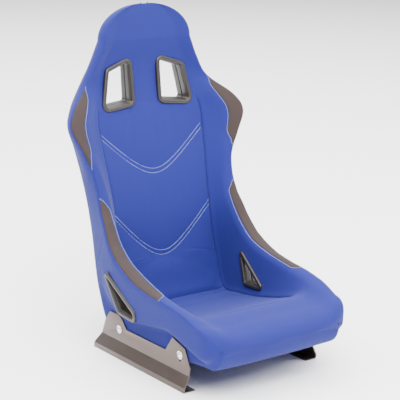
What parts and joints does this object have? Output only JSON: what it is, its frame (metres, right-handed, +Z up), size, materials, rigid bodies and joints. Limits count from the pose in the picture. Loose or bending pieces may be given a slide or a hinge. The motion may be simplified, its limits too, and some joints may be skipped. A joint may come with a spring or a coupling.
{
  "type": "racing seat",
  "caption": "Fixed-back bucket seat in padded cloth with wear patches, harness and lap-belt openings, and bolt-on steel side mounts.",
  "frame": {"origin": "on the floor, under the middle of the seat's bounding box", "axes": "+Z up; -Y forward, the way the sitter faces; +X to the sitter's left"},
  "size_m": [0.6032, 0.708, 0.9642],
  "materials": {
    "blue_cloth": "fine knitted polyester cloth, matt with a soft sheen",
    "wear_cloth": "napped grey-brown wear cloth, matt",
    "bezel_plastic": "satin moulded plastic",
    "bracket_steel": "satin black powder coat",
    "frame_steel": "black paint",
    "zinc": "bright zinc plate",
    "webbing": "woven webbing"
  },
  "bodies": {
    "side_mounts": {"left_bracket": "bracket_steel", "right_bracket": "bracket_steel"},
    "seat": {"front_roll": "blue_cloth", "seat_cushion": "blue_cloth", "back_pad": "blue_cloth", "upper_back_pad": "blue_cloth", "headrest": "blue_cloth", "base_cover": "blue_cloth", "back_cover": "blue_cloth", "left_thigh_bolster": "blue_cloth", "left_shoulder_bolster": "blue_cloth", "left_side_panel_lower": "blue_cloth", "left_side_panel_upper": "blue_cloth", "left_thigh_wear_panel": "wear_cloth", "left_shoulder_wear_panel": "wear_cloth", "left_harness_bezel_front": "bezel_plastic", "left_harness_bezel_rear": "bezel_plastic", "left_belt_bezel_inner": "bezel_plastic", "left_belt_bezel_outer": "bezel_plastic", "left_side_rail": "frame_steel", "left_mounting_plate": "frame_steel", "left_rear_bolt": "zinc", "left_front_bolt": "zinc", "left_rear_washer": "zinc", "left_front_washer": "zinc", "right_thigh_bolster": "blue_cloth", "right_shoulder_bolster": "blue_cloth", "right_side_panel_lower": "blue_cloth", "right_side_panel_upper": "blue_cloth", "right_thigh_wear_panel": "wear_cloth", "right_shoulder_wear_panel": "wear_cloth", "right_harness_bezel_front": "bezel_plastic", "right_harness_bezel_rear": "bezel_plastic", "right_belt_bezel_inner": "bezel_plastic", "right_belt_bezel_outer": "bezel_plastic", "right_side_rail": "frame_steel", "right_mounting_plate": "frame_steel", "right_rear_bolt": "zinc", "right_front_bolt": "zinc", "right_rear_washer": "zinc", "right_front_washer": "zinc", "perimeter_tube": "frame_steel", "front_cross_tube": "frame_steel", "seat_cross_tube": "frame_steel", "lumbar_cross_tube": "frame_steel", "shoulder_cross_tube": "frame_steel", "front_seat_strap": "webbing", "rear_seat_strap": "webbing", "lower_back_strap": "webbing", "middle_back_strap": "webbing", "upper_back_strap": "webbing"}
  },
  "joints": [
    {"name": "rake_adjust", "type": "hinge", "parent": "side_mounts", "child": "seat", "pos_m": [0, 0.11051, 0.081], "axis": [1, 0, 0], "range_deg": [-0.8, 1.4]}
  ]
}
